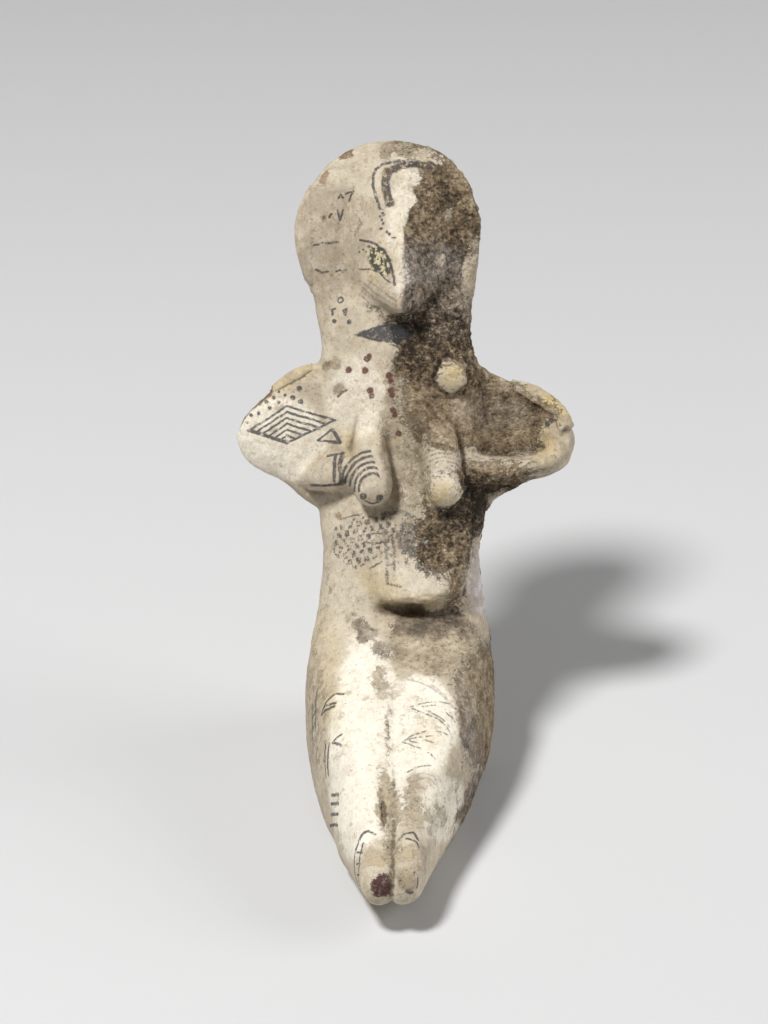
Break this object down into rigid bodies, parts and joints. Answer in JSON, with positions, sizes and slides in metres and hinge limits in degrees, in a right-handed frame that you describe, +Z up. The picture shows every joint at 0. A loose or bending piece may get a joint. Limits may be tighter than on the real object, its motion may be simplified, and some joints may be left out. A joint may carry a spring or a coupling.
{
  "type": "seated ceramic figurine",
  "caption": "Seated fired-clay figurine of a woman leaning back, with wing-like arms, a pinched beak face and tapering legs, slipped and painted.",
  "frame": {"origin": "bottom centre of the bounding box, on the surface it sits on", "axes": "+Z up, the figure faces -Y, and +X is across it"},
  "size_m": [0.118, 0.1984, 0.2003],
  "materials": {
    "slipped_clay": "matte cream slip over buff clay, with dark burial crust and worn dark painted lines"
  },
  "bodies": {
    "root": {"figurine": "slipped_clay"}
  },
  "joints": []
}
